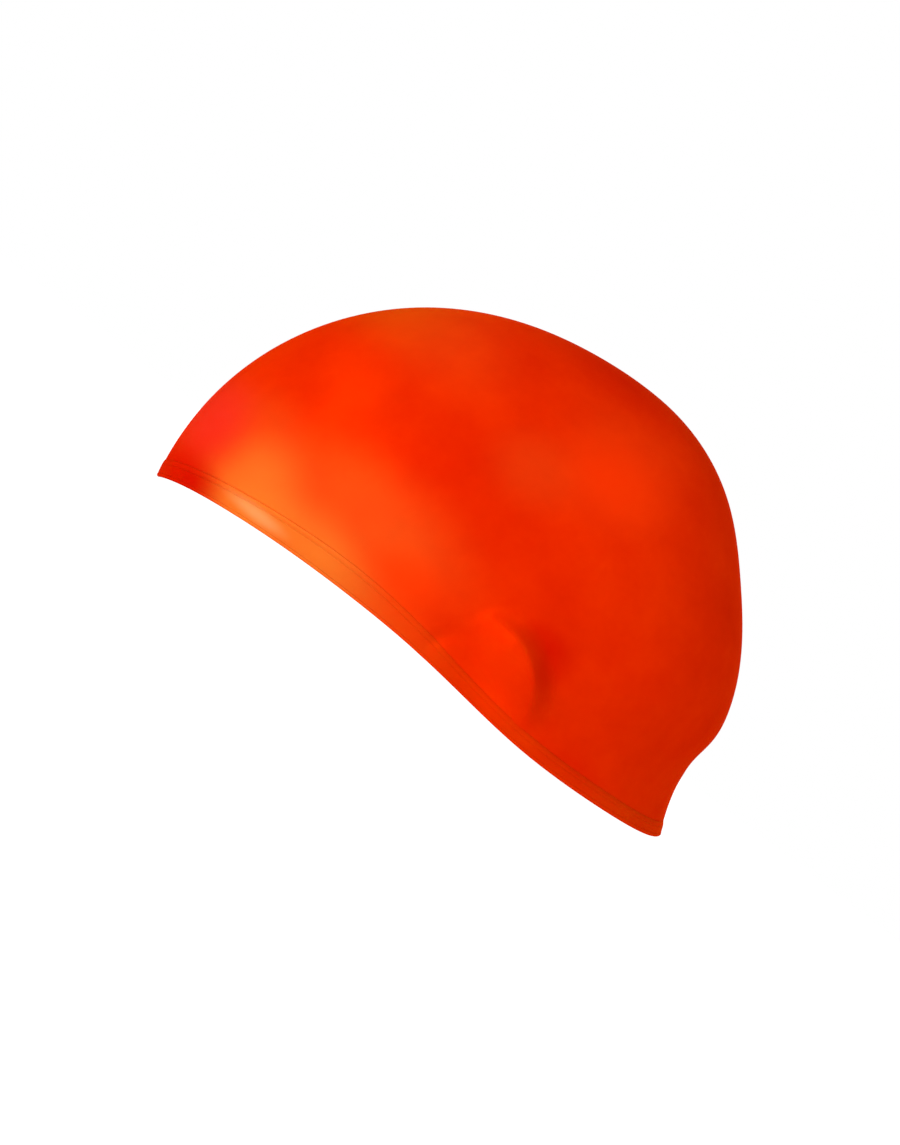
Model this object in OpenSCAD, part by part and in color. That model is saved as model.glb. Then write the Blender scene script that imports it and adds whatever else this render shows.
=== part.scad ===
// Highlighting cap: a one-piece rubber head cap with a reinforced rim and two moulded ear pockets.
// It stands on its rim. The crown is up (+Z), the forehead faces -X and the nape faces +X.

/* [Cap] */
// Length of the film from forehead to nape
cap_length = 218; // [190:1:250]
// Width of the film over the sides of the head, without the ear pockets
cap_width = 158; // [135:1:185]
// Height of the crown above the surface that the rim stands on
cap_height = 128; // [110:0.5:150]
// Thickness of the rubber film
wall = 1; // [0.6:0.1:1.6]

/* [Rim] */
// Thickness of the outer band at its lower edge
band_t = 0.2; // [0.1:0.1:1]
// Extra thickness of the outer band at its upper edge
band_rise = 0.1; // [0:0.05:0.6]
// Thickness of the turned-in hem inside the rim
hem_t = 0.2; // [0.1:0.1:1]
// Width of the welt that closes the upper edge of the band
welt_w = 2; // [1:0.1:3]
// Height of the welt above the film, where it is highest
welt_h = 0.8; // [0.3:0.1:1.5]
// How far the rolled edge bead stands out past the band and past the hem
bead_proud = 0.1; // [0.05:0.05:0.5]

/* [Ear pockets] */
// Height of an ear pocket's crest above the side of the cap
ear_h = 9; // [3:0.5:12]
// Distance of that crest from the pocket's centre
ear_r = 24.5; // [16:0.5:28]
// Width of the slope that drops from the crest to the side of the cap
ear_slope = 8; // [6:0.5:14]
// Depth of the short valley around the front of the pocket
valley_depth = 1.2; // [0:0.1:2]

/* [Nape] */
// Depth of the hollow above the nape
tuck = 3; // [0:0.5:5]
// How far the nape flares out below that hollow
flare = 7.5; // [0:0.5:10]

/* [Hidden] */

film_color = "#e62a00";
rim_color = "#ee3d08";

// The rim, across its thickness: band, film and hem lie between these distances from the film's
// outer face, and the bead's flat is cut where its circle is as wide as the three together.
stack_mid = (band_t - wall - hem_t) / 2;
stack_half = (band_t + wall + hem_t) / 2;
bead_r = stack_half + bead_proud;
bead_flat = sqrt(bead_r * bead_r - stack_half * stack_half);
bead_sides = 8;

// The film is drawn at this standard size and then stretched to the three driving sizes.
// Its height there is from the lowest point of its cut edge, which the bead keeps off the surface.
std_size = [218, 158, 128.6];
stretch = [
    cap_length / std_size[0],
    cap_width / std_size[1],
    (cap_height - bead_r) / std_size[2]
];

// Point inside the head from which the film's radii are measured, at the standard size.
centre = [11, 0, 35];

// Radii of the film in the middle plane, every 20 degrees from below the nape,
// over the crown, to below the forehead.
mid_first = -40;
mid_step = 20;
mid_radii = [94, 95, 95.5, 92.2, 87.2, 91.5, 92.8, 91.8, 96.5, 103.7, 111.5, 119, 124, 128];

// Radii of the film straight out to the side, every 20 degrees upward from below the rim.
side_radii = [79, 78.5, 78.6, 80.5, 84, 90];

// The plan is a superellipse: 2 is an ellipse, and this much is added at the height of the centre.
squareness = 0.35;

// The hollow above the nape and the flare below it, as heights in degrees seen from the centre.
tuck_at = -2.5;
tuck_spread = 6.5;
flare_at = -7;
flare_span = 9.5;

// Height of the rim's lower edge, and width of the band, at equal steps from nape to forehead.
rim_heights = [6.7, 3.1, 0.9, -0.3, 2.8, 6, 7, 6.4, 2.2, -4];
band_widths = [3, 3.1, 3.2, 3.8, 8.2, 5.2, 3];
// Share of the welt's height, at the same steps as the band's width.
welt_shares = [0, 0, 0, 0, 0.2, 1.4, -0.5];
// The welt's highest line lies past its middle, and its face is rounder than an arch.
welt_lean = 1.8;
welt_round = 0.7;
welt_steps = [0.85, 0.6, 0.3, 0];

// Centre of an ear pocket, towards the nape and up, at the standard size.
ear_at = [17.8, 5.5];
// Width of the rounding that leads over the crest of the ear's pocket into its slope.
ear_round = 3;
// The pocket climbs in this direction, in degrees above level and towards the nape,
// between these two distances from its centre.
ear_tilt = 72;
ear_rise = 7;
ear_full = 22;
// Across that direction it fades out towards the forehead, between these two distances.
ear_side = 0;
ear_end = 18;
// Nothing of it is left where the film turns to the forehead or the nape: below the first of these
// sines of the angle around the cap it is gone, above the second it is whole.
ear_gone = 0.3;
ear_whole = 0.63;
// The valley runs around the centre at this distance and this wide. Its middle is this far up the
// climb and it reaches this far from there. It starts this far across.
valley_r = 17;
valley_w = 2.8;
valley_at = 3;
valley_reach = 7;
valley_start = 8;

// Columns around the cap, closer together at the ears than at the forehead and the nape.
columns = 88;
crowding = 15.8;
column_az = [for (j = [0:columns - 1]) let (t = 360 * j / columns) t + crowding * sin(2 * t)];

// Rows of the film above the welt: close together past the ear pockets, then wider to the crown.
low_rows = 14;
low_share = 0.25;
high_rows = 17;

// Smooth curve through a list of values that belong to the whole numbers 0, 1, 2 and so on.
function value(c, k) =
    k < 0 ? 2 * c[0] - c[1] :
    k >= len(c) ? 2 * c[len(c) - 1] - c[len(c) - 2] :
    c[k];
function curve(c, t) =
    let (i = max(0, min(floor(t), len(c) - 2)), f = t - i)
    (pow(1 - f, 3) * value(c, i - 1)
        + (3 * pow(f, 3) - 6 * f * f + 4) * value(c, i)
        + (-3 * pow(f, 3) + 3 * f * f + 3 * f + 1) * value(c, i + 1)
        + pow(f, 3) * value(c, i + 2)) / 6;

// The same around the cap, from the nape (0 degrees) to the forehead (180), alike on both sides.
function around(c, az) =
    let (
        turn = ((az % 360) + 360) % 360,
        half = turn > 180 ? 360 - turn : turn,
        steps = len(c) - 1,
        mirrored = [c[1], each c, c[steps - 1]]
    )
    curve(mirrored, half / 180 * steps + 1);

function smooth(u) = let (v = max(0, min(1, u))) v * v * (3 - 2 * v);
function mid_radius(angle) = curve(mid_radii, (angle - mid_first) / mid_step);

// The side radii end level over the crown, at the same height as the middle plane's.
last_side = side_radii[len(side_radii) - 1];
crown_side = (48 * mid_radius(90) - 2 * last_side) / 46;
all_side_radii = [each side_radii, crown_side, crown_side, last_side];
function side_radius(el) = curve(all_side_radii, (el - mid_first) / mid_step);

// How far the ear pocket lifts the film at a point of the side, given towards the nape and up.
function ear_lift(x, z) =
    let (
        ahead = x - ear_at[0],
        above = z - ear_at[1],
        reach = norm([ahead, above]),
        climb = ahead * cos(ear_tilt) + above * sin(ear_tilt),
        aside = above * cos(ear_tilt) - ahead * sin(ear_tilt),
        rise = smooth((climb - ear_rise) / (ear_full - ear_rise)),
        side = 1 - smooth((aside - ear_side) / (ear_end - ear_side)),
        drop = 1 - smooth((reach - ear_r + ear_round) / (ear_slope + ear_round)),
        valley = exp(-pow((reach - valley_r) / valley_w, 2) - pow((climb - valley_at) / valley_reach, 2)),
        front = smooth(aside / valley_start)
    )
    ear_h * rise * side * drop - valley_depth * valley * front;

// Outer face of the film: az runs around from the nape, el is the height in degrees.
function film(az, el) =
    let (
        back = el,
        front = 180 - el,
        along = cos(az) >= 0 ? mid_radius(back) : mid_radius(front),
        n = 2 + squareness * pow(cos(el), 2),
        plain = pow(pow(abs(cos(az)) / along, n) + pow(abs(sin(az)) / side_radius(el), n), -1 / n),
        nape = pow(max(cos(az), 0), 3),
        hollow = tuck * exp(-pow((el - tuck_at) / tuck_spread, 2)),
        spread = flare * pow(max(flare_at - el, 0) / flare_span, 2),
        r = plain + nape * (spread - hollow),
        x = centre[0] + r * cos(el) * cos(az),
        y = r * cos(el) * sin(az),
        z = centre[2] + r * sin(el),
        turned = smooth((abs(sin(az)) - ear_gone) / (ear_whole - ear_gone)),
        lift = ear_lift(x, z) * sign(y) * turned
    )
    [x * stretch[0], y * stretch[1] + lift, z * stretch[2]];

// Direction straight out of the film.
function outward(az, el) =
    el > 89.9 ? [0, 0, 1] :
    let (
        step = 0.25,
        across = film(az + step, el) - film(az - step, el),
        up = film(az, el + step) - film(az, el - step),
        n = cross(across, up)
    )
    n / norm(n);

// Height angle of the film's cut edge, found by repeated correction.
function edge_el(az, el = -18, rounds = 8) =
    rounds == 0 ? el :
    let (
        radius = (film(az, el)[2] / stretch[2] - centre[2]) / sin(el),
        down = around(rim_heights, az) - centre[2]
    )
    edge_el(az, asin(down / radius), rounds - 1);

// Height angle at a distance along the film from its cut edge.
function el_at(az, edge, distance) =
    let (mm_per_degree = norm(film(az, edge + 0.5) - film(az, edge - 0.5)))
    edge + distance / mm_per_degree;

edges = [for (az = column_az) edge_el(az)];
film_rows = low_rows + high_rows;
function row_share(k) =
    k <= low_rows ? low_share * k / low_rows : low_share + (1 - low_share) * (k - low_rows) / high_rows;

// Height angles of one column's rows: the bead's flat, the band, the welt, then up to the crown.
function column_els(j) =
    let (
        az = column_az[j],
        edge = edges[j],
        width = around(band_widths, az),
        welt_top = el_at(az, edge, width + welt_w)
    )
    [
        for (share = [0, 1 / 3, 2 / 3, 1]) el_at(az, edge, bead_flat + share * (width - bead_flat)),
        for (k = [0:film_rows - 1]) welt_top + (90 - welt_top) * row_share(k)
    ];
band_row = 3;
welt_row = 4;

els = [for (j = [0:columns - 1]) column_els(j)];
rows = len(els[0]);
out = [for (i = [0:rows - 1]) [for (j = [0:columns - 1]) outward(column_az[j], els[j][i])]];
skin = [for (i = [0:rows - 1]) [for (j = [0:columns - 1]) film(column_az[j], els[j][i])]];
cut = [for (j = [0:columns - 1]) film(column_az[j], edges[j])];
crown = film(0, 90);

// A ring of points at a distance out of the film, on a row or part of the way to the next row.
function ring(i, distance, share = 0) =
    [for (j = [0:columns - 1])
        let (next = min(i + 1, rows - 1))
        skin[i][j] * (1 - share) + skin[next][j] * share
            + distance * (out[i][j] * (1 - share) + out[next][j] * share)];

// A ring of points of the bead, at an angle around its centre line.
function bead_ring(angle) =
    [for (j = [0:columns - 1])
        let (up = (skin[0][j] - cut[j]) / norm(skin[0][j] - cut[j]))
        cut[j] + up * bead_r * sin(angle) + out[0][j] * (stack_mid + bead_r * cos(angle))];
flat_angle = asin(bead_flat / bead_r);
bead_arc = [for (k = [1:bead_sides - 1]) flat_angle - (180 + 2 * flat_angle) * k / bead_sides];
bead_bottom = min([for (angle = bead_arc) each [for (p = bead_ring(angle)) p[2]]]);

// A ring of the welt's points. The welt takes over the band's face and drops to the film beyond it.
welt_heights = [for (j = [0:columns - 1]) welt_h * around(welt_shares, column_az[j])];
function welt_ring(share) =
    let (
        base = ring(band_row, 0, share),
        raised = ring(band_row, 1, share)
    )
    [for (j = [0:columns - 1])
        let (
            from_band = (band_t + band_rise) * (1 - smooth(share)),
            arch = pow(sin(180 * pow(share, welt_lean)), welt_round),
            height = from_band + welt_heights[j] * arch
        )
        base[j] + (raised[j] - base[j]) * height];

// Triangles between two rings of points. The shorter diagonal is taken, so that two pieces
// that share a face are split alike and meet without a gap.
function strip(rings, a, b) =
    [for (j = [0:columns - 1])
        let (
            k = (j + 1) % columns,
            rising = norm(rings[a][j] - rings[b][k]),
            falling = norm(rings[a][k] - rings[b][j])
        )
        each rising < falling
            ? [[a * columns + j, a * columns + k, b * columns + k],
               [a * columns + j, b * columns + k, b * columns + j]]
            : [[a * columns + j, a * columns + k, b * columns + j],
               [a * columns + k, b * columns + k, b * columns + j]]];

// A closed solid through rings of points that run around its section.
module hoop(rings) {
    last = len(rings) - 1;
    translate([0, 0, -bead_bottom])
    polyhedron(
        points = [for (r = rings) each r],
        faces = [for (i = [0:last]) each strip(rings, i, i == last ? 0 : i + 1)],
        convexity = 6
    );
}

// A dome between an outer and an inner skin, closed at the rim.
module dome(outer, inner, outer_top, inner_top) {
    rings = [for (i = [len(outer) - 1:-1:0]) outer[i], each inner];
    last = len(rings) - 1;
    top = len(rings) * columns;
    translate([0, 0, -bead_bottom])
    polyhedron(
        points = [for (r = rings) each r, outer_top, inner_top],
        faces = [
            for (i = [0:last - 1]) each strip(rings, i, i + 1),
            for (j = [0:columns - 1]) [top, (j + 1) % columns, j],
            for (j = [0:columns - 1]) [top + 1, last * columns + j, last * columns + (j + 1) % columns]
        ],
        convexity = 6
    );
}

module crown_shell() {
    color(film_color)
    dome(
        [for (i = [0:rows - 1]) ring(i, 0)],
        [for (i = [0:rows - 1]) ring(i, -wall)],
        crown,
        crown - [0, 0, wall]
    );
}

module rim_band() {
    color(rim_color)
    hoop([
        for (i = [0:band_row]) ring(i, 0),
        for (i = [band_row:-1:0]) ring(i, band_t + band_rise * sin(90 * i / band_row))
    ]);
}

module band_welt() {
    color(rim_color)
    hoop([
        ring(band_row, 0),
        ring(welt_row, 0),
        for (share = welt_steps) welt_ring(share)
    ]);
}

module edge_bead() {
    color(rim_color)
    hoop([
        ring(0, -wall - hem_t),
        ring(0, -wall),
        ring(0, 0),
        ring(0, band_t),
        for (angle = bead_arc) bead_ring(angle)
    ]);
}

module inner_hem() {
    color(rim_color)
    hoop([
        for (i = [0:band_row]) ring(i, -wall - hem_t),
        for (i = [band_row:-1:0]) ring(i, -wall)
    ]);
}

crown_shell();
rim_band();
band_welt();
edge_bead();
inner_hem();
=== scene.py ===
"""Highlighting cap: the looks of a smooth orange-red rubber cap that stands on its rim."""

import math

import bpy
import numpy as np
from mathutils import Matrix, Vector


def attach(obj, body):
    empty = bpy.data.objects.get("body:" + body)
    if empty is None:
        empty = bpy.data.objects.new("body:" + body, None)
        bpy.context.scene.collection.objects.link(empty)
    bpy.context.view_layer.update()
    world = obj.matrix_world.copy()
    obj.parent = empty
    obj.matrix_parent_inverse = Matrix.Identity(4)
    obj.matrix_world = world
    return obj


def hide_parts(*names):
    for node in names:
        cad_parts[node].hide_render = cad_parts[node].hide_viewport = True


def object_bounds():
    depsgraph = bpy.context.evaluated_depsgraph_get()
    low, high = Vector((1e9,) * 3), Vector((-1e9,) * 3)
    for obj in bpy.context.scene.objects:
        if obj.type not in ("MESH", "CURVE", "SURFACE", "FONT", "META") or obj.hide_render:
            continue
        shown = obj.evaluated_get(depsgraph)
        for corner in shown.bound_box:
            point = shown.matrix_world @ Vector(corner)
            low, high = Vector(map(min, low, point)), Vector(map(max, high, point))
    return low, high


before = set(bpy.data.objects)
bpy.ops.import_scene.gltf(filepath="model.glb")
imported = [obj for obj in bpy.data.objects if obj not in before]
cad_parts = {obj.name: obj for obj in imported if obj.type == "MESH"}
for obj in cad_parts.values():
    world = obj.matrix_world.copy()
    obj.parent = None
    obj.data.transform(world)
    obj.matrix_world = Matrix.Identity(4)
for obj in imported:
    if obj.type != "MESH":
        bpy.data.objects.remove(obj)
cad_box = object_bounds()
MM = 0.001

# ---------------------------------------------------------------- sizes, in millimetres

# Thicknesses of the rubber and of the layers of the rim, as they are in the CAD part. The band grows
# by its rise towards its upper edge.
WALL = 1.0
BAND_THICKNESS = 0.2
BAND_RISE = 0.1
HEM_THICKNESS = 0.2
WELT_WIDTH = 2.0
WELT_HEIGHT = 0.8
BEAD_PROUD = 0.1

# Through the rim lie the hem, the film and the band. The bead's round is a little wider than that stack,
# and the stack ends on a flat that cuts it.
STACK_MID = (BAND_THICKNESS - WALL - HEM_THICKNESS) / 2
STACK_HALF = (BAND_THICKNESS + WALL + HEM_THICKNESS) / 2
BEAD_RADIUS = STACK_HALF + BEAD_PROUD
BEAD_FLAT = math.sqrt(BEAD_RADIUS ** 2 - STACK_HALF ** 2)

# The film's radii from a point inside the head, at equal steps in height angle: in the middle plane,
# from below the nape over the crown to below the forehead, and out to the side, from below the rim up.
CENTRE = (11.0, 0.0, 35.0)
FIRST_ANGLE = -40.0
ANGLE_STEP = 20.0
MID_RADII = [94, 95, 95.5, 92.2, 87.2, 91.5, 92.8, 91.8, 96.5, 103.7, 111.5, 119, 124, 128]
SIDE_RADII = [79, 78.5, 78.6, 80.5, 84, 90]

# How far the plan of the cap is from an oval towards a box, at the height of the centre.
SQUARENESS = 0.35

# The nape is drawn in at one height angle and flares out below another.
TUCK = 3.0
TUCK_AT = -2.5
TUCK_SPREAD = 6.5
FLARE = 7.5
FLARE_AT = -7.0
FLARE_SPAN = 9.5

# Height of the rim's cut edge, width of the band and share of the welt's height, at equal steps from
# the nape to the forehead.
RIM_HEIGHTS = [6.7, 3.1, 0.9, -0.3, 2.8, 6, 7, 6.4, 2.2, -4]
BAND_WIDTHS = [3, 3.1, 3.2, 3.8, 8.2, 5.2, 3]
WELT_SHARES = [0, 0, 0, 0, 0.2, 1.4, -0.5]

# The welt's section: how far its crest leans to the film, and how blunt it is.
WELT_LEAN = 1.8
WELT_ROUND = 0.7

# The ear pockets: a round that climbs up and towards the nape to a crest, which drops steeply behind.
EAR_AT = (17.8, 5.5)
EAR_RADIUS = 24.5
EAR_HEIGHT = 9.0
EAR_SLOPE = 8.0
EAR_TILT = math.radians(72)
# The climb starts and ends at these distances from the centre.
EAR_RISE = 7.0
EAR_FULL = 22.0
# Across the climb the pocket fades out towards the forehead, between these distances.
EAR_SIDE = 0.0
EAR_END = 18.0
# It is gone below the first of these sines of the angle around the cap, and whole above the second.
EAR_GONE = 0.3
EAR_WHOLE = 0.63

# A short valley lies around the front of each pocket, at this distance from its centre. Its middle is
# this far up the climb and it reaches this far from there. It starts this far across.
VALLEY_RADIUS = 17.0
VALLEY_DEPTH = 1.2
VALLEY_WIDTH = 2.8
VALLEY_AT = 3.0
VALLEY_REACH = 7.0
VALLEY_START = 8.0

# The standard length, width and height that these numbers draw, and the CAD part's own.
STANDARD_SIZE = (218.0, 158.0, 128.6)
CAP_SIZE = (218.0, 158.0, 128.0)
STRETCH = np.array([
    CAP_SIZE[0] / STANDARD_SIZE[0],
    CAP_SIZE[1] / STANDARD_SIZE[1],
    (CAP_SIZE[2] - BEAD_RADIUS) / STANDARD_SIZE[2],
])

# ---------------------------------------------------------------- the film's shape


def curve(values, t):
    """Smooth curve through values that belong to the whole numbers 0, 1, 2 and so on."""
    c = np.asarray(values, float)
    c = np.concatenate([[2 * c[0] - c[1]], c, [2 * c[-1] - c[-2]], [2 * c[-1] - c[-2]]])
    t = np.asarray(t, float)
    i = np.clip(np.floor(t).astype(int), 0, len(values) - 2)
    f = t - i
    return ((1 - f) ** 3 * c[i]
            + (3 * f ** 3 - 6 * f ** 2 + 4) * c[i + 1]
            + (-3 * f ** 3 + 3 * f ** 2 + 3 * f + 1) * c[i + 2]
            + f ** 3 * c[i + 3]) / 6


def around(values, az):
    """The same around the cap, from the nape (0 degrees) to the forehead (180), on both sides."""
    half = np.abs((np.asarray(az, float) + 180) % 360 - 180)
    mirrored = [values[1], *values, values[-2]]
    return curve(mirrored, half / 180 * (len(values) - 1) + 1)


def smooth(u):
    """From 0 to 1 with a level start and end."""
    u = np.clip(u, 0, 1)
    return u * u * (3 - 2 * u)


def mid_radius(angle):
    return curve(MID_RADII, (angle - FIRST_ANGLE) / ANGLE_STEP)


# Both outlines meet at the crown. It lies halfway between two equal knots, where the curve takes 23 of 48
# parts from each of them and 1 part from each knot beyond.
CROWN_SIDE = (48 * float(mid_radius(90.0)) - 2 * SIDE_RADII[-1]) / 46
ALL_SIDE_RADII = [*SIDE_RADII, CROWN_SIDE, CROWN_SIDE, SIDE_RADII[-1]]


def side_radius(el):
    return curve(ALL_SIDE_RADII, (el - FIRST_ANGLE) / ANGLE_STEP)


def ear_lift(x, z):
    """How far the ear pocket lifts the film outwards at a place on the cap's side."""
    ahead = x - EAR_AT[0]
    above = z - EAR_AT[1]
    reach = np.hypot(ahead, above)
    climb = ahead * math.cos(EAR_TILT) + above * math.sin(EAR_TILT)
    aside = above * math.cos(EAR_TILT) - ahead * math.sin(EAR_TILT)
    rise = smooth((climb - EAR_RISE) / (EAR_FULL - EAR_RISE))
    side = 1 - smooth((aside - EAR_SIDE) / (EAR_END - EAR_SIDE))
    drop = (1 - np.clip((reach - EAR_RADIUS) / EAR_SLOPE, 0, 1)) ** 2
    off_ring = (reach - VALLEY_RADIUS) / VALLEY_WIDTH
    off_middle = (climb - VALLEY_AT) / VALLEY_REACH
    valley = np.exp(-off_ring ** 2 - off_middle ** 2)
    front = smooth(aside / VALLEY_START)
    return EAR_HEIGHT * rise * side * drop - VALLEY_DEPTH * valley * front


def film(az, el):
    """Outer face of the film: az runs around from the nape, el is the height in degrees."""
    az, el = np.broadcast_arrays(np.asarray(az, float), np.asarray(el, float))
    ca, sa = np.cos(np.radians(az)), np.sin(np.radians(az))
    ce, se = np.cos(np.radians(el)), np.sin(np.radians(el))
    along = np.where(ca >= 0, mid_radius(el), mid_radius(180 - el))
    n = 2 + SQUARENESS * ce ** 2
    plain = ((np.abs(ca) / along) ** n + (np.abs(sa) / side_radius(el)) ** n) ** (-1 / n)
    nape = np.maximum(ca, 0) ** 3
    hollow = TUCK * np.exp(-((el - TUCK_AT) / TUCK_SPREAD) ** 2)
    spread = FLARE * (np.maximum(FLARE_AT - el, 0) / FLARE_SPAN) ** 2
    r = plain + nape * (spread - hollow)
    x = CENTRE[0] + r * ce * ca
    y = r * ce * sa
    z = CENTRE[2] + r * se
    turned = smooth((np.abs(sa) - EAR_GONE) / (EAR_WHOLE - EAR_GONE))
    lift = ear_lift(x, z) * np.sign(y) * turned
    return np.stack([x * STRETCH[0], y * STRETCH[1] + lift, z * STRETCH[2]], -1)


# Past this height angle the film faces straight up.
NEAR_CROWN = 89.9
TINY = 1e-12


def outward(az, el, step=0.25):
    """Direction straight out of the film."""
    across = film(az + step, el) - film(az - step, el)
    up = film(az, el + step) - film(az, el - step)
    out = np.cross(across, up)
    out = out / np.maximum(np.linalg.norm(out, axis=-1, keepdims=True), TINY)
    return np.where((np.asarray(el) > NEAR_CROWN)[..., None], [0.0, 0.0, 1.0], out)


FIRST_GUESS = -18.0
CORRECTIONS = 8


def edge_height(az):
    """Height angle of the film's cut edge, found by repeated correction."""
    el = np.full_like(az, FIRST_GUESS)
    down = around(RIM_HEIGHTS, az) - CENTRE[2]
    for _ in range(CORRECTIONS):
        radius = (film(az, el)[..., 2] / STRETCH[2] - CENTRE[2]) / np.sin(np.radians(el))
        el = np.degrees(np.arcsin(down / radius))
    return el


def at_distance(az, edge, distance):
    """Height angle at a distance along the film from its cut edge."""
    per_degree = np.linalg.norm(film(az, edge + 0.5) - film(az, edge - 0.5), axis=-1)
    return edge + distance / per_degree


# ---------------------------------------------------------------- the rim

# Columns around the cap, closer together at the ears than at the forehead and the nape.
COLUMNS = 320
CROWDING = 15.8
TURN = 360 * np.arange(COLUMNS) / COLUMNS
COLUMN_AZ = TURN + CROWDING * np.sin(np.radians(2 * TURN))
EDGE_EL = edge_height(COLUMN_AZ)
BAND_TOP = around(BAND_WIDTHS, COLUMN_AZ)
CUT = film(COLUMN_AZ, EDGE_EL)

# The bead's lowest point stands on the floor, as the CAD part's does.
SEAT_EL = at_distance(COLUMN_AZ, EDGE_EL, BEAD_FLAT)
SEAT = film(COLUMN_AZ, SEAT_EL)
SEAT_OUT = outward(COLUMN_AZ, SEAT_EL)
SEAT_UP = (SEAT - CUT) / np.linalg.norm(SEAT - CUT, axis=-1, keepdims=True)


def bead_ring(angle):
    """A ring of the bead's points, at an angle around its centre line."""
    out = STACK_MID + BEAD_RADIUS * math.cos(angle)
    return CUT + SEAT_UP * BEAD_RADIUS * math.sin(angle) + SEAT_OUT * out


LOW_STEPS = 60
LIFT = -min(bead_ring(-math.pi * k / LOW_STEPS)[:, 2].min() for k in range(LOW_STEPS + 1))


def film_ring(distance_up, out=0.0):
    """A ring at a distance up the film from its cut edge, and at a distance out of its face."""
    el = at_distance(COLUMN_AZ, EDGE_EL, distance_up)
    return film(COLUMN_AZ, el) + out * outward(COLUMN_AZ, el)


# ---------------------------------------------------------------- meshes

# Rows of the film above the welt: close together past the ear pockets, then wider to the crown.
LOW_SHARE = 0.27
LOW_ROWS = 34
HIGH_ROWS = 48
# Rings of points in the sections of the rim's layers.
BAND_RINGS = 15
WELT_RINGS = 11
BEAD_TURNS = 20
HEM_RINGS = 9
# The hem thins by this share, most of it close to its upper edge.
HEM_FADE = 0.6
HEM_FADE_POWER = 6


def mesh_object(name, points, faces):
    """A smooth-shaded object from points in millimetres."""
    mesh = bpy.data.meshes.new(name)
    points = (points + np.array([0, 0, LIFT])) * MM
    mesh.from_pydata(points.tolist(), [], faces)
    mesh.validate()
    mesh.update()
    mesh.shade_smooth()
    obj = bpy.data.objects.new(name, mesh)
    bpy.context.scene.collection.objects.link(obj)
    return obj


def quads(a, b):
    """Faces between ring number a and ring number b."""
    j = np.arange(COLUMNS)
    k = (j + 1) % COLUMNS
    return np.stack([a * COLUMNS + j, a * COLUMNS + k, b * COLUMNS + k, b * COLUMNS + j], -1).tolist()


def hoop(name, rings):
    """A closed piece through rings of points that run around its section."""
    faces = []
    for i in range(len(rings)):
        faces += quads(i, (i + 1) % len(rings))
    return mesh_object(name, np.concatenate(rings), faces)


def dome(name, outer, inner, outer_top, inner_top):
    """A dome between an outer and an inner skin, closed at the rim."""
    rings = outer[::-1] + inner
    faces = []
    for i in range(len(rings) - 1):
        faces += quads(i, i + 1)
    top = len(rings) * COLUMNS
    last = (len(rings) - 1) * COLUMNS
    for j in range(COLUMNS):
        k = (j + 1) % COLUMNS
        faces.append([top, k, j])
        faces.append([top + 1, last + j, last + k])
    points = np.concatenate(rings + [np.array([outer_top, inner_top])])
    return mesh_object(name, points, faces)


def crown_film():
    """The film with its two ear pockets, from the bead's flat to the crown."""
    layered = BAND_TOP + WELT_WIDTH - BEAD_FLAT
    welt_top = at_distance(COLUMN_AZ, EDGE_EL, BAND_TOP + WELT_WIDTH)
    low_shares = LOW_SHARE * np.arange(LOW_ROWS) / LOW_ROWS
    high_shares = LOW_SHARE + (1 - LOW_SHARE) * np.arange(HIGH_ROWS) / HIGH_ROWS
    els = [at_distance(COLUMN_AZ, EDGE_EL, BEAD_FLAT + layered * s) for s in (0, 0.35, 0.7)]
    els += [welt_top + (90 - welt_top) * s for s in (*low_shares, *high_shares)]
    outer = [film(COLUMN_AZ, el) for el in els]
    inner = [p - WALL * outward(COLUMN_AZ, el) for p, el in zip(outer, els)]
    crown = film(0.0, 90.0)
    return dome("cap_film", outer, inner, crown, crown - [0, 0, WALL])


def on_band(share, out=0.0):
    """A ring at a share of the way from the bead's flat up to the band's upper edge."""
    return film_ring(BEAD_FLAT + share * (BAND_TOP - BEAD_FLAT), out)


def rim_band():
    """The band outside the rim: it thickens gently towards its upper edge."""
    shares = np.linspace(0, 1, BAND_RINGS)
    inner = [on_band(s) for s in shares]
    outer = [on_band(s, BAND_THICKNESS + BAND_RISE * math.sin(math.pi / 2 * s)) for s in shares]
    return hoop("rim_band_skin", inner + outer[::-1])


def welt_thickness(share):
    """Thickness of the welt at a share of its width: the band's face that fades out, and the ridge."""
    height = (WELT_HEIGHT * around(WELT_SHARES, COLUMN_AZ))[:, None]
    base = (BAND_THICKNESS + BAND_RISE) * (1 - smooth(share))
    ridge = math.sin(math.pi * share ** WELT_LEAN) ** WELT_ROUND
    return base + height * ridge


def band_welt():
    """The welt along the band's upper edge: it goes on from the band and drops steeply to the film."""
    shares = np.linspace(0, 1, WELT_RINGS)
    inner = [film_ring(BAND_TOP + s * WELT_WIDTH) for s in shares]
    outer = [film_ring(BAND_TOP + s * WELT_WIDTH, welt_thickness(s)) for s in shares[:-1]]
    return hoop("band_welt_skin", inner + outer[::-1])


def edge_bead():
    """The rolled bead around the cut edge."""
    start = math.asin(BEAD_FLAT / BEAD_RADIUS)
    arc = [start - (math.pi + 2 * start) * k / BEAD_TURNS for k in range(BEAD_TURNS + 1)]
    flat = [STACK_MID - STACK_HALF, -WALL, 0.0, STACK_MID + STACK_HALF]
    rings = [SEAT + SEAT_OUT * n for n in flat] + [bead_ring(a) for a in arc[1:-1]]
    return hoop("edge_bead_skin", rings)


def inner_hem():
    """The turned-in strip inside the rim."""
    shares = np.linspace(0, 1, HEM_RINGS)
    face = [on_band(s, -WALL) for s in shares]
    inside = [on_band(s, -WALL - HEM_THICKNESS * (1 - HEM_FADE * s ** HEM_FADE_POWER)) for s in shares]
    return hoop("inner_hem_skin", inside + face[::-1])


# ---------------------------------------------------------------- materials


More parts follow.
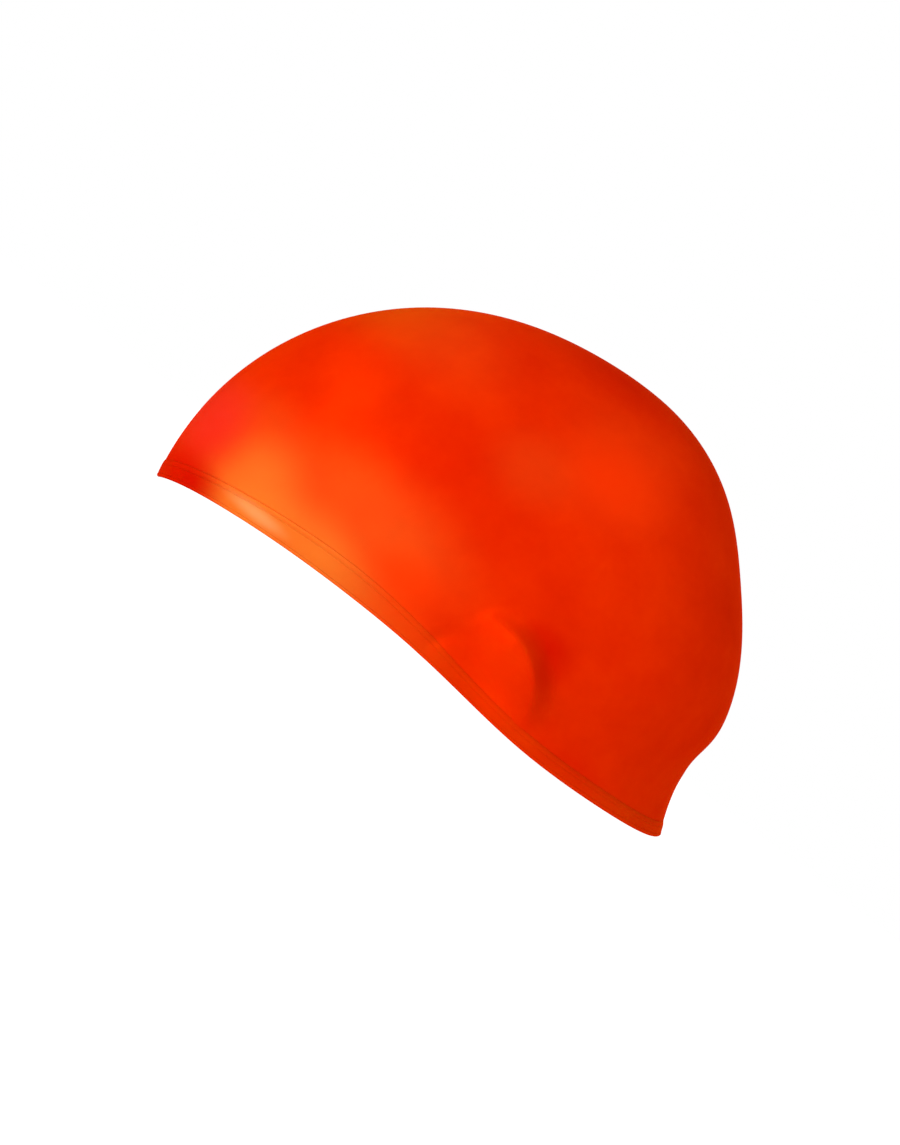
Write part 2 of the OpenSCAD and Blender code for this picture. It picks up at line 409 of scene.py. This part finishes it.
def node(tree, kind, **values):
    """A new shader node with some of its settings."""
    made = tree.nodes.new(kind)
    for key, value in values.items():
        setattr(made, key, value)
    return made


# Soft patches of other tones: each has a centre (x, z) and a reach to its edge (x, z), in metres, and a
# strength, and lies on both sides of the cap. The large stretched ones are partly the film drawn thin over
# the temples and along the front of the rim, where the rim is palest, and partly a painted highlight there.
# The small faint stretched ones and the pale one on the band are painted highlight. The olive one is a
# painted reflection along the top of the forehead. The deep ones are painted shade, with a painted shadow
# behind each ear pocket, and the bright ones are painted highlight. The rosy one tints the film above the
# forehead's edge. All of them stay as they are under any other light.
THIN_FILM_AND_HIGHLIGHT = (1.0, 0.21, 0.022)
ROSY = (0.85, 0.026, 0.012)
PAINTED_REFLECTION = (0.7, 0.1, 0.0)
PAINTED_HIGHLIGHT = (1.0, 0.035, 0.0)
PAINTED_BAND_HIGHLIGHT = (1.0, 0.42, 0.16)
PAINTED_SHADE = (0.62, 0.002, 0.0)
TONES_AND_PAINTED_LIGHT = (
    # The large ones are partly thin film and partly painted highlight; the small faint ones are painted
    # highlight.
    (THIN_FILM_AND_HIGHLIGHT, (
        ((-0.077, 0.016), (0.028, 0.028), 0.65),
        ((-0.042, 0.006), (0.064, 0.022), 0.62),
        ((-0.040, 0.032), (0.060, 0.032), 0.22),
        ((-0.050, 0.018), (0.026, 0.016), 0.3),
        ((0.018, 0.097), (0.035, 0.030), 0.06),
        ((-0.064, 0.100), (0.050, 0.030), 0.09),
        ((-0.086, 0.036), (0.024, 0.020), 0.13),
        ((-0.006, 0.080), (0.026, 0.020), 0.08),
        ((-0.024, 0.026), (0.022, 0.018), 0.08),
    )),
    # Painted reflection along the top of the forehead.
    (PAINTED_REFLECTION, (
        ((-0.086, 0.106), (0.044, 0.036), 0.4),
    )),
    (ROSY, (
        ((-0.102, 0.028), (0.021, 0.026), 0.75),
    )),
    # Painted shade, and the painted shadow behind each ear pocket's crest.
    (PAINTED_SHADE, (
        ((-0.101, 0.005), (0.023, 0.017), 0.75),
        ((0.000, 0.130), (0.050, 0.022), 0.6),
        ((0.038, 0.031), (0.011, 0.015), 0.5),
        ((0.030, 0.037), (0.013, 0.008), 0.5),
        ((-0.036, 0.066), (0.034, 0.026), 0.28),
        ((-0.092, 0.008), (0.012, 0.010), 0.3),
        ((0.012, 0.056), (0.040, 0.022), 0.22),
        ((0.068, 0.008), (0.024, 0.008), 0.25),
    )),
    # Painted highlight over and in front of the ear pockets, high on the side and above the temple.
    (PAINTED_HIGHLIGHT, (
        ((0.024, 0.020), (0.020, 0.018), 0.5),
        ((0.020, 0.096), (0.032, 0.022), 0.6),
        ((-0.012, 0.010), (0.030, 0.014), 0.45),
        ((-0.018, 0.025), (0.024, 0.016), 0.6),
        ((0.031, 0.009), (0.016, 0.010), 0.6),
        ((-0.072, 0.068), (0.022, 0.022), 0.4),
    )),
    # Painted highlight on the band at the temple.
    (PAINTED_BAND_HIGHLIGHT, (
        ((-0.071, 0.0115), (0.018, 0.0040), 0.5),
    )),
)


def soft_patch(tree, place, centre, reach, strength):
    """The strength at a patch's centre, fading to 0 at its edge."""
    offset = node(tree, "ShaderNodeVectorMath", operation="SUBTRACT")
    offset.inputs[1].default_value = (centre[0], 0, centre[1])
    scaled = node(tree, "ShaderNodeVectorMath", operation="MULTIPLY")
    scaled.inputs[1].default_value = (1 / reach[0], 0, 1 / reach[1])
    distance = node(tree, "ShaderNodeVectorMath", operation="LENGTH")
    fade = node(tree, "ShaderNodeMapRange", interpolation_type="SMOOTHERSTEP")
    fade.inputs["To Min"].default_value = strength
    fade.inputs["To Max"].default_value = 0.0
    tree.links.new(place.outputs["Object"], offset.inputs[0])
    tree.links.new(offset.outputs["Vector"], scaled.inputs[0])
    tree.links.new(scaled.outputs["Vector"], distance.inputs[0])
    tree.links.new(distance.outputs["Value"], fade.inputs["Value"])
    return fade.outputs["Result"]


def toned(tree, place, color, tone, patches):
    """The colour, mixed with a tone as far as the patches reach."""
    total = None
    for centre, reach, strength in patches:
        patch = soft_patch(tree, place, centre, reach, strength)
        if total is None:
            total = patch
            continue
        both = node(tree, "ShaderNodeMath", operation="ADD", use_clamp=True)
        tree.links.new(total, both.inputs[0])
        tree.links.new(patch, both.inputs[1])
        total = both.outputs[0]
    mixed = node(tree, "ShaderNodeMix", data_type="RGBA", blend_type="MIX")
    mixed.inputs["B"].default_value = (*tone, 1)
    tree.links.new(total, mixed.inputs["Factor"])
    tree.links.new(color, mixed.inputs["A"])
    return mixed.outputs["Result"]


def rubber(name, low, mid, high):
    """Satin silicone rubber: three shades in soft clouds, patches of tone and of painted highlight and
    shade, faint grain and a slight glow.
    """
    mat = bpy.data.materials.new(name)
    mat.use_nodes = True
    tree = mat.node_tree
    tree.nodes.clear()
    link = tree.links.new
    out = node(tree, "ShaderNodeOutputMaterial")
    shader = node(tree, "ShaderNodeBsdfPrincipled")
    link(shader.outputs["BSDF"], out.inputs["Surface"])
    place = node(tree, "ShaderNodeTexCoord")

    clouds = node(tree, "ShaderNodeTexNoise")
    clouds.inputs["Scale"].default_value = 30.0
    clouds.inputs["Detail"].default_value = 8.0
    clouds.inputs["Roughness"].default_value = 0.62
    link(place.outputs["Object"], clouds.inputs["Vector"])
    ramp = node(tree, "ShaderNodeValToRGB")
    ramp.color_ramp.elements[0].position = 0.3
    ramp.color_ramp.elements[0].color = (*low, 1)
    ramp.color_ramp.elements[1].position = 0.7
    ramp.color_ramp.elements[1].color = (*high, 1)
    middle = ramp.color_ramp.elements.new(0.5)
    middle.color = (*mid, 1)
    link(clouds.outputs["Fac"], ramp.inputs["Fac"])
    color = ramp.outputs["Color"]
    # The patches paint highlight, shade and reflection into the colour, as well as tone.
    for tone, patches in TONES_AND_PAINTED_LIGHT:
        color = toned(tree, place, color, tone, patches)
    link(color, shader.inputs["Base Color"])

    polish = node(tree, "ShaderNodeTexNoise")
    polish.inputs["Scale"].default_value = 60.0
    polish.inputs["Detail"].default_value = 3.0
    link(place.outputs["Object"], polish.inputs["Vector"])
    gloss = node(tree, "ShaderNodeMapRange")
    gloss.inputs["To Min"].default_value = 0.42
    gloss.inputs["To Max"].default_value = 0.5
    link(polish.outputs["Fac"], gloss.inputs["Value"])
    link(gloss.outputs["Result"], shader.inputs["Roughness"])

    grain = node(tree, "ShaderNodeTexNoise")
    grain.inputs["Scale"].default_value = 900.0
    grain.inputs["Detail"].default_value = 2.0
    link(place.outputs["Object"], grain.inputs["Vector"])
    bump = node(tree, "ShaderNodeBump")
    bump.inputs["Strength"].default_value = 0.06
    bump.inputs["Distance"].default_value = 0.0002
    link(grain.outputs["Fac"], bump.inputs["Height"])
    link(bump.outputs["Normal"], shader.inputs["Normal"])

    shader.inputs["IOR"].default_value = 1.41
    shader.inputs["Specular IOR Level"].default_value = 0.0
    shader.inputs["Specular Tint"].default_value = (1.0, 0.08, 0.0, 1)
    shader.inputs["Metallic"].default_value = 0.1
    shader.inputs["Sheen Weight"].default_value = 0.04
    shader.inputs["Sheen Roughness"].default_value = 0.4
    shader.inputs["Sheen Tint"].default_value = (1.0, 0.35, 0.02, 1)
    shader.inputs["Subsurface Weight"].default_value = 0.25
    shader.inputs["Subsurface Radius"].default_value = (1.0, 0.15, 0.05)
    shader.inputs["Subsurface Scale"].default_value = 0.002
    return mat


def plain(name, color, roughness):
    """A plain matt material."""
    mat = bpy.data.materials.new(name)
    mat.use_nodes = True
    shader = mat.node_tree.nodes["Principled BSDF"]
    shader.inputs["Base Color"].default_value = (*color, 1)
    shader.inputs["Roughness"].default_value = roughness
    return mat


def seen_rays(tree):
    """1 where a ray comes from the camera, a reflection or clear material."""
    path = node(tree, "ShaderNodeLightPath")
    first = node(tree, "ShaderNodeMath", operation="MAXIMUM")
    both = node(tree, "ShaderNodeMath", operation="MAXIMUM")
    tree.links.new(path.outputs["Is Camera Ray"], first.inputs[0])
    tree.links.new(path.outputs["Is Glossy Ray"], first.inputs[1])
    tree.links.new(first.outputs[0], both.inputs[0])
    tree.links.new(path.outputs["Is Transmission Ray"], both.inputs[1])
    return both.outputs[0]


# ---------------------------------------------------------------- the cap

FILM = rubber("cap_film", (0.71, 0.016, 0.0), (0.77, 0.021, 0.0), (0.83, 0.028, 0.0))
RIM = rubber("rim_rubber", (0.76, 0.024, 0.0), (0.8, 0.03, 0.0), (0.85, 0.04, 0.0))

for make, node_name, slot_name, material in (
    (crown_film, "crown_shell", "cap_film", FILM),
    (rim_band, "rim_band", "rim_rubber", RIM),
    (band_welt, "band_welt", "rim_rubber", RIM),
    (edge_bead, "edge_bead", "rim_rubber", RIM),
    (inner_hem, "inner_hem", "rim_rubber", RIM),
):
    piece = make()
    piece.data.materials.append(material)
    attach(piece, "root")
    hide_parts(node_name)

# ---------------------------------------------------------------- floor, light and camera

FLOOR_SIZE = 12.0
FLOOR_GAP = 0.0002
# The floor shows its shading near the cap and fades to plain white further out.
FADE_FROM, FADE_TO = 0.25, 0.9
SHADED_SHARE = 0.18
GLOW = 1.25
# Share of that glow that lights the cap from below.
LEAST_GLOW = 0.25
AMBIENT = 0.43
LAMP_TARGET = Vector((0, 0, 0.05))


def floor_material():
    mat = plain("floor", (0.9, 0.9, 0.9), 0.9)
    tree = mat.node_tree
    glow = node(tree, "ShaderNodeEmission")
    glow.inputs["Strength"].default_value = GLOW
    place = node(tree, "ShaderNodeTexCoord")
    reach = node(tree, "ShaderNodeVectorMath", operation="LENGTH")
    fade = node(tree, "ShaderNodeMapRange")
    fade.inputs["From Min"].default_value = FADE_FROM
    fade.inputs["From Max"].default_value = FADE_TO
    fade.inputs["To Min"].default_value = 1 - SHADED_SHARE
    fade.inputs["To Max"].default_value = 1.0
    share = node(tree, "ShaderNodeMath", operation="MULTIPLY")
    least = node(tree, "ShaderNodeMath", operation="MAXIMUM")
    least.inputs[1].default_value = LEAST_GLOW
    blend = node(tree, "ShaderNodeMixShader")
    tree.links.new(place.outputs["Object"], reach.inputs[0])
    tree.links.new(reach.outputs["Value"], fade.inputs["Value"])
    tree.links.new(fade.outputs["Result"], share.inputs[0])
    tree.links.new(seen_rays(tree), share.inputs[1])
    tree.links.new(share.outputs[0], least.inputs[0])
    tree.links.new(least.outputs[0], blend.inputs["Fac"])
    tree.links.new(tree.nodes["Principled BSDF"].outputs["BSDF"], blend.inputs[1])
    tree.links.new(glow.outputs["Emission"], blend.inputs[2])
    tree.links.new(blend.outputs["Shader"], tree.nodes["Material Output"].inputs["Surface"])
    return mat


bpy.ops.mesh.primitive_plane_add(size=FLOOR_SIZE, location=(0, 0, cad_box[0][2] - FLOOR_GAP))
floor = bpy.context.object
floor.name = "floor"
floor.data.materials.append(floor_material())

world = bpy.data.worlds.new("studio")
bpy.context.scene.world = world
world.use_nodes = True
tree = world.node_tree
tree.nodes.clear()
ambient = node(tree, "ShaderNodeBackground")
ambient.inputs["Color"].default_value = (1, 1, 1, 1)
ambient.inputs["Strength"].default_value = AMBIENT
white = node(tree, "ShaderNodeBackground")
white.inputs["Color"].default_value = (1, 1, 1, 1)
white.inputs["Strength"].default_value = 1.0
mix = node(tree, "ShaderNodeMixShader")
tree.links.new(seen_rays(tree), mix.inputs["Fac"])
tree.links.new(ambient.outputs["Background"], mix.inputs[1])
tree.links.new(white.outputs["Background"], mix.inputs[2])
world_out = node(tree, "ShaderNodeOutputWorld")
tree.links.new(mix.outputs["Shader"], world_out.inputs["Surface"])


def softbox(name, place, size, power):
    """A white rectangular lamp that faces the cap."""
    lamp = bpy.data.lights.new(name, "AREA")
    lamp.shape = "RECTANGLE"
    lamp.size, lamp.size_y = size
    lamp.energy = power
    obj = bpy.data.objects.new(name, lamp)
    obj.location = place
    obj.rotation_euler = (LAMP_TARGET - Vector(place)).to_track_quat("-Z", "Y").to_euler()
    bpy.context.scene.collection.objects.link(obj)


softbox("key", (-0.9, -0.92, 0.22), (0.8, 0.2), 9.0)
softbox("rear", (1.1, -0.8, 0.2), (0.8, 0.3), 1.6)
softbox("top", (0.15, -0.75, 1.1), (0.6, 0.4), 1.6)
softbox("far", (0.3, 1.45, 0.35), (1.0, 0.6), 4)

# The camera looks along +Y at the wearer's left side, rolled so that the rim runs down to the right.
CAMERA_ROLL = math.radians(37.44)
CAMERA_AZ = math.radians(-2.5)
CAMERA_EL = math.radians(0.0)
CAMERA_DISTANCE = 1.6
CAMERA_TARGET = Vector((-0.0044, 0.0, 0.0354))
FRAME_HEIGHT = 0.40175
SENSOR = 36.0
back = Vector((
    math.sin(CAMERA_AZ) * math.cos(CAMERA_EL),
    -math.cos(CAMERA_AZ) * math.cos(CAMERA_EL),
    math.sin(CAMERA_EL),
))
right = Vector((math.cos(CAMERA_AZ), math.sin(CAMERA_AZ), 0))
up = back.cross(right)
rolled_right = right * math.cos(CAMERA_ROLL) + up * math.sin(CAMERA_ROLL)
rolled_up = up * math.cos(CAMERA_ROLL) - right * math.sin(CAMERA_ROLL)
camera_data = bpy.data.cameras.new("camera")
camera_data.sensor_width = SENSOR
camera_data.lens = SENSOR * CAMERA_DISTANCE / FRAME_HEIGHT
camera = bpy.data.objects.new("camera", camera_data)
turn = Matrix((rolled_right, rolled_up, back)).transposed().to_4x4()
camera.matrix_world = Matrix.Translation(CAMERA_TARGET + back * CAMERA_DISTANCE) @ turn
bpy.context.scene.collection.objects.link(camera)
bpy.context.scene.camera = camera

bpy.context.scene.view_settings.view_transform = "Standard"
